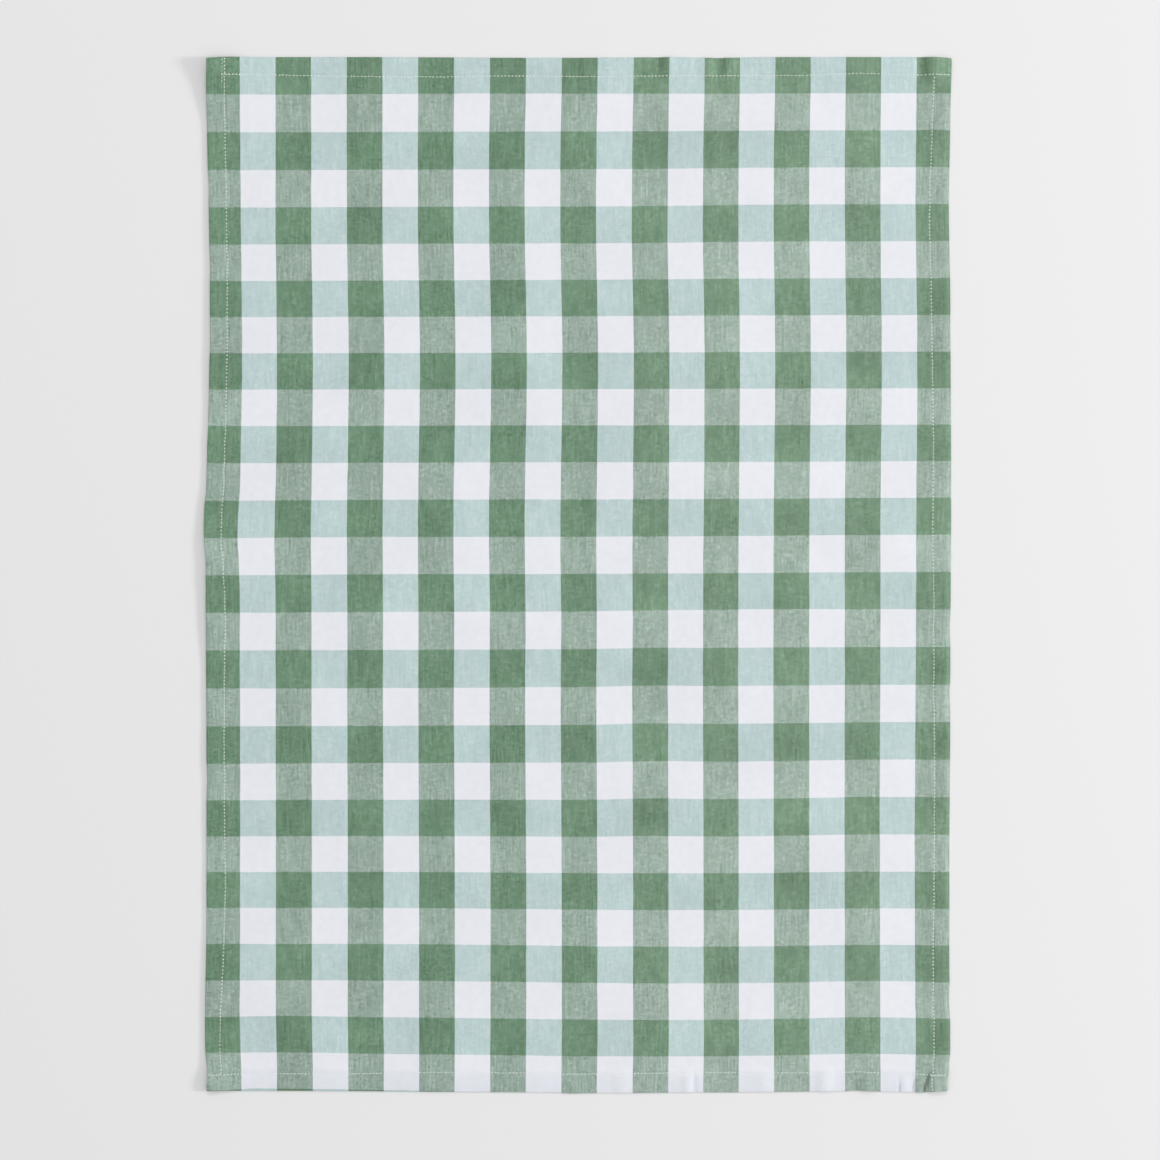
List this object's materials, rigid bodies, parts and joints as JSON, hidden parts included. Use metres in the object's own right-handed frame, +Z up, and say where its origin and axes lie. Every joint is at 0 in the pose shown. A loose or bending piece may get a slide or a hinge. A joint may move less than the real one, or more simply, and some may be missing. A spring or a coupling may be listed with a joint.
{
  "type": "tea towel",
  "caption": "Flat rectangular cotton tea towel with turned and stitched hems on every edge, woven in a gingham check, lying face up with a slightly lifted corner.",
  "frame": {"origin": "middle of the towel's box, on the surface that it lies on", "axes": "+Z up out of the towel's face, +Y along its length, +X across its width"},
  "size_m": [0.5018, 0.6952, 0.0075],
  "materials": {
    "gingham_cotton": "matte yarn-dyed plain weave in green, pale aqua and white, sewn with off-white thread"
  },
  "bodies": {
    "root": {"towel_cloth": "gingham_cotton"}
  },
  "joints": []
}
